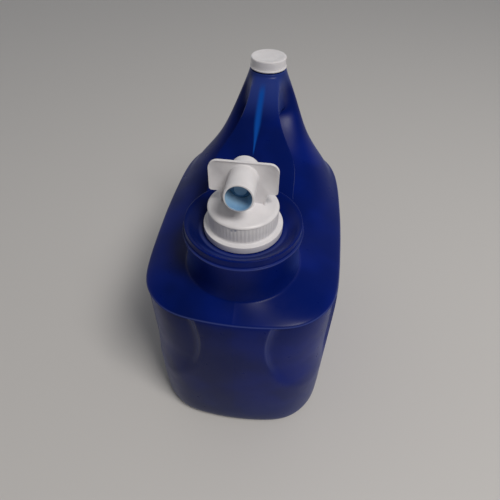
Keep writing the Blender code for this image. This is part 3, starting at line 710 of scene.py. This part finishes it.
def raiseSeam(mesh):
    # parting line of the mould: a narrow ridge all along the middle plane
    bm = bmesh.new()
    bm.from_mesh(mesh)
    seam = [e for e in bm.edges if all(abs(v.co.x) < onMiddle for v in e.verts)
            and not any(v.is_boundary for v in e.verts)]
    roundEdges(bm, seam, jug["seamWidth"] / 2)
    bm.normal_update()
    crest = [(v, v.normal.copy()) for v in bm.verts
             if abs(v.co.x) < onMiddle and not v.is_boundary and v.co.z > jug["baseRadius"] / 2]
    for vertex, normal in crest:
        vertex.co += normal * jug["seamRise"]
    bm.to_mesh(mesh)
    bm.free()


def buildJug():
    body = makeObject("jugBody", buildJugCage(), blue)
    smooth = body.modifiers.new("smooth", "SUBSURF")
    smooth.levels = jug["levels"]
    smooth.render_levels = jug["levels"]
    applyModifiers(body)
    pressDimples(body.data)
    raiseSeam(body.data)
    wall = body.modifiers.new("wall", "SOLIDIFY")
    wall.thickness = jug["wall"]
    wall.offset = -1
    applyModifiers(body)
    finishMesh(body.data, "jugBody", jug["sharpAngle"])
    return body


jugBody = buildJug()
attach(jugBody, "bottle")
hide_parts("bottle")
print("jug built:", len(jugBody.data.polygons), "faces")


# Turned pieces

sameSpot = 1e-6      # corners nearer than this are one


def arcPoints(centre, radius, start, end, steps=6, tall=None):
    # points of an arc in the plane of radius and height, angles in degrees
    tall = tall or radius
    angles = [math.radians(start + (end - start) * step / steps) for step in range(steps + 1)]
    return [(centre[0] + radius * math.cos(a), centre[1] + tall * math.sin(a)) for a in angles]


def turnedShape(profile, steps=96, closed=False, alongY=False, place=(0, 0, 0)):
    # spins (radius, height) points round Z, or round Y with the height along +Y
    bm = bmesh.new()
    corners = [bm.verts.new((radius, 0, height)) for radius, height in profile]
    pairs = list(zip(corners, corners[1:])) + ([(corners[-1], corners[0])] if closed else [])
    edges = [bm.edges.new(pair) for pair in pairs]
    bmesh.ops.spin(bm, geom=corners + edges, cent=(0, 0, 0), axis=(0, 0, 1), angle=math.tau,
                   steps=steps, use_merge=True)
    bmesh.ops.remove_doubles(bm, verts=bm.verts, dist=sameSpot)
    bmesh.ops.dissolve_degenerate(bm, edges=bm.edges, dist=sameSpot)
    if alongY:
        bmesh.ops.rotate(bm, verts=bm.verts, cent=(0, 0, 0), matrix=Matrix.Rotation(-math.pi / 2, 3, "X"))
    bmesh.ops.recalc_face_normals(bm, faces=bm.faces)
    bmesh.ops.translate(bm, verts=bm.verts, vec=place)
    return bm


def combine(target, tool, operation):
    # joins a tool to the target, or cuts it away, and keeps only the target
    modifier = target.modifiers.new(operation.lower(), "BOOLEAN")
    modifier.operation = operation
    modifier.object = tool
    applyModifiers(target)
    bpy.data.objects.remove(tool, do_unlink=True)


# Threads of the two necks, blown as one raised helix each; they fit the play inside the caps

threadValues = {
    "rise": 0.00055, "sunk": 0.0004, "wide": 0.0018, "crestShare": 0.30, "stepsPerTurn": 48,
    # name, centre along Y, radius and top of the neck, pitch, turns, distance below the top
    "necks": (("tapNeckThread", tapY, boss["neckRadius"], neckTop, 0.0040, 2.25, 0.0022),
              ("ventNeckThread", ventY, vent["neckRadius"], ventNeckTop, 0.0032, 1.25, 0.0017)),
}


def buildThread(name, centreY, radius, top, pitch, turns, drop, values):
    inner, outer, half = radius - values["sunk"], radius + values["rise"], values["wide"] / 2
    crest = half * values["crestShare"]
    bm = bmesh.new()
    corners = [bm.verts.new((x, 0, z)) for x, z in (
        (inner, -half), (outer, -crest), (outer, crest), (inner, half))]
    section = bm.faces.new(corners)
    steps = int(values["stepsPerTurn"] * turns)
    bmesh.ops.spin(bm, geom=[section], cent=(0, 0, 0), axis=(0, 0, 1), angle=math.tau * turns,
                   steps=steps, dvec=(0, 0, pitch * turns / steps))
    bmesh.ops.recalc_face_normals(bm, faces=bm.faces)
    bmesh.ops.translate(bm, verts=bm.verts, vec=(0, centreY, top - drop - half - pitch * turns))
    return makeObject(name, bm, blue)


for neck in threadValues["necks"]:
    thread = buildThread(*neck, threadValues)
    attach(thread, "bottle")
print("neck threads built")


# Tap, one moulding: screw cap with a ribbed skirt, wing plate, barrel and pillar

tap = {
    "seatGap": 0.0007, "neckClearance": 0.0008, "gasketThickness": 0.0014, "touchGap": 0.0003,
    "flangeRadius": 0.0271, "flangeHeight": 0.0054, "flangeRound": 0.0005, "flangeFoot": 0.0006,
    "boreEdge": 0.0004, "overrun": 0.0020,
    "skirtRadius": 0.0234, "skirtGap": 0.0009, "skirtRound": 0.0007, "skirtFoot": 0.0012,
    "skirtShares": (0, 0.12, 0.5, 0.88, 1), "ribs": 60, "ribRise": 0.00028, "ribMargin": 0.0002,
    "discRadius": 0.0239, "discThickness": 0.0032, "edgeWide": 0.0034, "edgeTall": 0.0020,
    "edgeShare": 1.15, "domeRise": 0.0020, "domeShares": (0.15, 0.3, 0.45, 0.6, 0.75),
    "barrelHeight": 0.0413, "barrelRadius": 0.0094, "barrelWall": 0.0013,
    "spoutLength": 0.0208, "barrelTail": 0.0100, "lipRound": 0.0004, "fillet": 0.0009,
    "mouthSlant": 0.0018, "slantShare": 0.6, "sharpAngle": 32,
    "pillarRadius": 0.0075, "pillarShare": 0.8, "flowRadius": 0.0045, "pillarY": -0.00243,
    "seatHole": 0.0052, "seatSetback": 0.0073, "seatThickness": 0.0020,
    "bowlDeep": 0.0052, "bowlTaper": 0.0003,
    "sleeveLength": 0.0070, "buttonBore": 0.0073,
}
wing = {
    "width": 0.0446, "top": 0.0525, "bottom": 0.0300, "footWidth": 0.0310, "thickness": 0.0022,
    "corner": 0.0062, "heel": 0.0018, "notch": 0.0016, "footTaper": 0.0014,
    "rimWidth": 0.0011, "rimRise": 0.00060, "edgeRound": 0.00020,
    "gussetX": 0.0143, "gussetDeep": 0.0021, "gussetTall": 0.0034, "gussetThick": 0.0012,
    "gussetRound": 0.0002,
}
tapZ = dishFloor + tap["seatGap"]
capCeiling = neckTop + tap["gasketThickness"] + 2 * tap["touchGap"] - tapZ
capHeight = capCeiling + tap["discThickness"]
barrelZ = tapZ + tap["barrelHeight"]
neckBore = boss["neckRadius"] + tap["neckClearance"]


# The same white polypropylene, with a wet film of detergent inside the spout: pale glossy blue, paler at
# the back as painted light against the shade in the bore, darker at the lower lip as painted shade, and two
# old finger smudges on the skirt.
spoutFilm = {
    "backColour": "#9dbfd8", "lipColour": "#7099be", "roughness": 0.17,
    "edge": 0.0003, "lowEdge": 0.0013, "back": 0.0050,
    "lowShare": 0.2, "nearShares": (0.55, 1.05), "nearLevels": (0.15, 1.0),
    "beadSize": 2.4, "beadDepth": 0.16,
    "smudgeColour": "#66728f", "smudgeSize": 0.0015, "smudgeShare": 0.75,
    "smudges": ((-0.0043, -0.0826, 0.2082), (-0.0019, -0.0829, 0.2087)),
}


def makeTapMaterial(values):
    material = makeClouded("whitePolypropyleneMouldedTap", whitePolypropylene)
    tree = material.node_tree
    shader = tree.nodes["Principled BSDF"]
    inputs = ("Base Color", "Roughness", "Normal")
    plain = {name: shader.inputs[name].links[0].from_socket for name in inputs}
    place = addNode(tree, "ShaderNodeTexCoord").outputs["Object"]
    bore = tap["barrelRadius"] - tap["barrelWall"]
    fromAxis = computeVector(tree, "SUBTRACT", place, (0, tapY, barrelZ))["Vector"]
    flat = computeVector(tree, "MULTIPLY", fromAxis, (1, 0, 1))["Vector"]
    radius = computeVector(tree, "LENGTH", flat)["Value"]
    parts = separate(tree, fromAxis)
    reach = mapRange(tree, parts["Z"], (0.0, -bore), (bore + values["edge"], bore + values["lowEdge"]))
    inside = mapRange(tree, radius, (reach, bore))
    wet = product(tree, inside, compute(tree, "LESS_THAN", parts["Y"], -values["back"]))
    low = mapRange(tree, parts["Z"], (bore * values["lowShare"], -bore))
    nearFrom = [-tap["spoutLength"] * share for share in values["nearShares"]]
    near = mapRange(tree, parts["Y"], nearFrom, values["nearLevels"])
    # painted light and shade: the film paler towards the back of the bore, darker low at the lip
    film = mixColours(tree, product(tree, low, near), values["backColour"], values["lipColour"])
    colour = mixColours(tree, wet, plain["Base Color"], film)
    for spot in values["smudges"]:
        away = computeVector(tree, "DISTANCE", place, spot)["Value"]
        mark = mapRange(tree, away, (values["smudgeSize"], 0.0), (0.0, values["smudgeShare"]))
        colour = mixColours(tree, mark, colour, values["smudgeColour"])
    gloss = addNode(tree, "ShaderNodeMix", {"data_type": "FLOAT"}, {
        "Factor": wet, "A": plain["Roughness"], "B": values["roughness"]}).outputs["Result"]
    beads = product(tree, noise(tree, place, values["beadSize"], 1.0, 0.5), wet)
    tree.links.new(colour, shader.inputs["Base Color"])
    tree.links.new(gloss, shader.inputs["Roughness"])
    tree.links.new(bump(tree, beads, values["beadDepth"], plain["Normal"]), shader.inputs["Normal"])
    return material


def buildCap():
    skirt, wide, tall = tap["skirtRadius"], tap["edgeWide"], tap["edgeTall"]
    flange, roundness, flangeTop = tap["flangeRadius"], tap["flangeRound"], tap["flangeHeight"]
    edge, foot, gap, margin = tap["boreEdge"], tap["flangeFoot"], tap["skirtGap"], tap["ribMargin"]
    skirtTop, dome = capHeight - tap["edgeShare"] * tall, tap["discRadius"] - wide
    profile = [(neckBore, capCeiling), (neckBore, edge), (neckBore + edge, 0)]
    profile += arcPoints((flange - foot, foot), foot, -90, 0, 3)
    profile += arcPoints((flange - roundness, flangeTop - roundness), roundness, 0, 80, 5)
    profile += arcPoints((skirt + gap, flangeTop + gap), tap["skirtRound"], -90, -180, 3)
    skirtStart = len(profile)
    profile += [(skirt, flangeTop + tap["skirtFoot"] + (skirtTop - flangeTop - tap["skirtFoot"]) * share)
                for share in tap["skirtShares"]]
    profile += arcPoints((dome, capHeight - tall), wide, -8, 90, 10, tall)
    profile += [(dome * (1 - share), capHeight + tap["domeRise"] * math.sin(share * math.pi / 2))
                for share in tap["domeShares"]]
    profile += [(dome / 4, capCeiling)]
    bm = turnedShape(profile, steps=tap["ribs"] * 4, closed=True)
    low, high = profile[skirtStart][1] + margin, profile[skirtStart + 4][1] - margin
    for corner in bm.verts:
        radius = math.hypot(corner.co.x, corner.co.y)
        if abs(radius - skirt) < margin / 2 and low < corner.co.z < high:
            wave = 0.5 + 0.5 * math.cos(tap["ribs"] * math.atan2(corner.co.y, corner.co.x))
            grow = 1 + tap["ribRise"] * wave / radius
            corner.co.x *= grow
            corner.co.y *= grow
    bmesh.ops.translate(bm, verts=bm.verts, vec=(0, tapY, tapZ))
    return makeObject("tapMoulding", bm, makeTapMaterial(spoutFilm))


def buildWing():
    half, foot, notch = wing["width"] / 2, wing["footWidth"] / 2, wing["notch"]
    right = [(foot - wing["footTaper"], capHeight - tap["discThickness"] / 2)]
    right += arcPoints((foot + notch, wing["bottom"] - notch), notch, 172, 90, 5)
    right += arcPoints((half - wing["heel"], wing["bottom"] + wing["heel"]), wing["heel"], -90, 0, 4)
    right += arcPoints((half - wing["corner"], wing["top"] - wing["corner"]), wing["corner"], 0, 90, 9)
    outline = right + [(-x, z) for x, z in reversed(right)]
    bm = bmesh.new()
    front = bm.faces.new([bm.verts.new((x, -wing["thickness"] / 2, z)) for x, z in outline])
    extrudeFace(bm, front, (0, wing["thickness"], 0))
    flat = [face for face in bm.faces if abs(face.normal.y) > 0.9]
    bmesh.ops.inset_individual(bm, faces=flat, thickness=wing["rimWidth"], depth=-wing["rimRise"])
    sharp = [e for e in bm.edges if len(e.link_faces) == 2 and e.calc_face_angle() > math.radians(40)]
    roundEdges(bm, sharp, wing["edgeRound"])
    bmesh.ops.translate(bm, verts=bm.verts, vec=(0, tapY, tapZ))
    return makeObject("wingPlate", bm, white)


def buildGusset(side):
    # small triangular web between the disc and the foot of the plate
    deep, tall, thick = wing["gussetDeep"], wing["gussetTall"], wing["gussetThick"]
    floor = capHeight + tap["domeRise"] / 4
    bm = bmesh.new()
    corners = [bm.verts.new((0, y, z)) for y, z in ((0, floor), (-deep, floor), (0, floor + tall))]
    extrudeFace(bm, bm.faces.new(corners), (thick, 0, 0))
    roundEdges(bm, list(bm.edges), wing["gussetRound"])
    bmesh.ops.translate(bm, verts=bm.verts, vec=(side * wing["gussetX"] - thick / 2, tapY, tapZ))
    return makeObject("gusset", bm, white)


def buildTap():
    moulding = buildCap()
    onAxis = (0, tapY, barrelZ)
    radius, tail, spout = tap["barrelRadius"], tap["barrelTail"], tap["spoutLength"]
    fillet, side, lip = tap["fillet"], wing["thickness"] / 2 - wing["rimRise"], tap["lipRound"]
    profile = [(0, -spout)] + arcPoints((radius - lip, lip - spout), lip, -90, 0, 3)
    profile += arcPoints((radius + fillet, -side - fillet), fillet, 180, 90, 5)
    profile += arcPoints((radius + fillet, side + fillet), fillet, -90, -180, 5)
    profile += arcPoints((radius - lip, tail - lip), lip, 0, 90, 3) + [(0, tail)]
    barrel = makeObject("barrel", turnedShape(profile, alongY=True, place=onAxis), white)
    foot, discTop = capHeight - tap["discThickness"] / 2, capHeight + tap["domeRise"] * tap["pillarShare"]
    pillarRadius, axisHeight = tap["pillarRadius"], tap["barrelHeight"]
    profile = [(0, foot), (pillarRadius + fillet, foot)]
    profile += arcPoints((pillarRadius + fillet, discTop + fillet), fillet, -90, -180, 5)
    profile += [(pillarRadius, axisHeight), (0, axisHeight)]
    pillarPlace = (0, tapY + tap["pillarY"], tapZ)
    pillar = makeObject("pillar", turnedShape(profile, steps=64, place=pillarPlace), white)
    for tool in (buildWing(), barrel, pillar, buildGusset(-1), buildGusset(1)):
        combine(moulding, tool, "UNION")

    inner, hole, bowl, past = radius - tap["barrelWall"], tap["seatHole"], tap["bowlDeep"], tap["overrun"]
    bore, step, seatBack = tap["buttonBore"], tail - tap["sleeveLength"], -tap["seatSetback"]
    seatFront = seatBack - tap["seatThickness"]
    profile = [(0, -spout - past), (inner + lip, -spout - past), (inner + lip, -spout)]
    profile += arcPoints((inner + lip, lip - spout), lip, -90, -180, 3)
    profile += arcPoints((hole, seatFront - bowl), inner - tap["bowlTaper"] - hole, 0, 82, 10, bowl)
    profile += [(hole, seatFront), (hole, seatBack), (inner, seatBack), (inner, step), (bore, step),
                (bore, tail - lip), (bore + lip, tail), (bore + lip, tail + past), (0, tail + past)]
    cutter = makeObject("waterway", turnedShape(profile, alongY=True, place=onAxis), white)
    combine(moulding, cutter, "DIFFERENCE")
    profile = [(0, capCeiling - past), (tap["flowRadius"], capCeiling - past),
               (tap["flowRadius"], axisHeight), (0, axisHeight)]
    flow = makeObject("flowHole", turnedShape(profile, steps=48, place=pillarPlace), white)
    combine(moulding, flow, "DIFFERENCE")

    # the mouth is cut a little aslant, longer below
    slantFrom, slantLength = tapY - tap["slantShare"] * spout, (1 - tap["slantShare"]) * spout
    for vertex in moulding.data.vertices:
        place = vertex.co
        drop = (barrelZ + radius - place.z) / (2 * radius)
        if place.y < slantFrom and 0 <= drop <= 1:
            place.y -= tap["mouthSlant"] * drop * ease((slantFrom - place.y) / slantLength)
    finishMesh(moulding.data, "tapMoulding", tap["sharpAngle"])
    return moulding


tapMoulding = buildTap()
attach(tapMoulding, "tap")
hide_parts("tap_body")
print("tap built:", len(tapMoulding.data.polygons), "faces")


# Push button at the tail of the barrel, a soft dome that moves the valve

button = {
    "radius": 0.0070, "reach": 0.0026, "dome": 0.0018,
    "flangeRadius": 0.0077, "flangeThickness": 0.0016, "collar": 0.0006, "bend": 0.0005,
}


def buildButton():
    step = tap["barrelTail"] - tap["sleeveLength"] - tap["touchGap"]
    front, back = step - button["flangeThickness"], tap["barrelTail"] + button["reach"]
    radius = button["radius"]
    profile = [(0, front), (button["flangeRadius"], front), (button["flangeRadius"], step), (radius, step)]
    profile += [(radius, tap["barrelTail"] + button["collar"]), (radius, back - button["bend"])]
    profile += arcPoints((0, back), radius, 10, 80, 7, button["dome"]) + [(0, back + button["dome"])]
    bm = turnedShape(profile, alongY=True, place=(0, tapY, barrelZ))
    return makeObject("pushButton", bm, elastomer)


pushButton = buildButton()
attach(pushButton, "button")
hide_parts("tap_button")


# Vent cap: plain screw cap with a bead round its mouth

ventCap = {
    "radius": 0.0152, "top": 0.0016, "edge": 0.0010, "bead": 0.0005, "beadHeight": 0.0013,
    "boreEdge": 0.0004, "mouthEdge": 0.0003, "beadFoot": 0.0005, "beadTop": 0.0004,
    "taper": 0.0001, "taperHeight": 0.0026, "rimIn": 0.0028, "discIn": 0.0031, "discSunk": 0.00015,
    "seatGap": 0.0013, "liner": 0.0010,
}
ventCapZ = vent["shoulderHeight"] + ventCap["seatGap"]
ventCeiling = ventNeckTop + ventCap["liner"] + 2 * tap["touchGap"] - ventCapZ
ventCapHeight = ventCeiling + ventCap["top"]


def buildVentCap():
    bore, edge, radius = vent["neckRadius"] + tap["neckClearance"], ventCap["edge"], ventCap["radius"]
    bead, beadTop, taper = radius + ventCap["bead"], ventCap["beadHeight"], ventCap["taper"]
    inEdge, outEdge, foot, top = [ventCap[name] for name in ("boreEdge", "mouthEdge", "beadFoot", "beadTop")]
    sunk = ventCapHeight - ventCap["discSunk"]
    profile = [(0, ventCeiling), (bore - inEdge, ventCeiling), (bore, ventCeiling - inEdge)]
    profile += [(bore, outEdge), (bore + outEdge, 0)]
    profile += arcPoints((bead - foot, foot), foot, -90, 0, 4)
    profile += arcPoints((bead - top, beadTop - top), top, 0, 70, 3)
    profile += [(radius, beadTop + ventCap["bead"]), (radius - taper, beadTop + ventCap["taperHeight"])]
    profile += arcPoints((radius - edge, ventCapHeight - edge), edge, 0, 90, 8)
    profile += [(radius - ventCap["rimIn"], ventCapHeight), (radius - ventCap["discIn"], sunk),
                (radius / 2, sunk), (0, ventCapHeight - taper)]
    return makeObject("ventCap", turnedShape(profile, place=(0, ventY, ventCapZ)), white)


ventCapShell = buildVentCap()
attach(ventCapShell, "vent")
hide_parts("vent_cap")
print("button and vent cap built")

# Hidden pieces keep their solids and take their real materials
for name, material in (("vent_cap_liner", foam), ("tap_gasket", foam), ("valve_stem", stained),
                       ("valve_seal", rubber)):
    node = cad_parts[name]
    node.data.materials.clear()
    node.data.materials.append(material)
print("hidden pieces dressed")
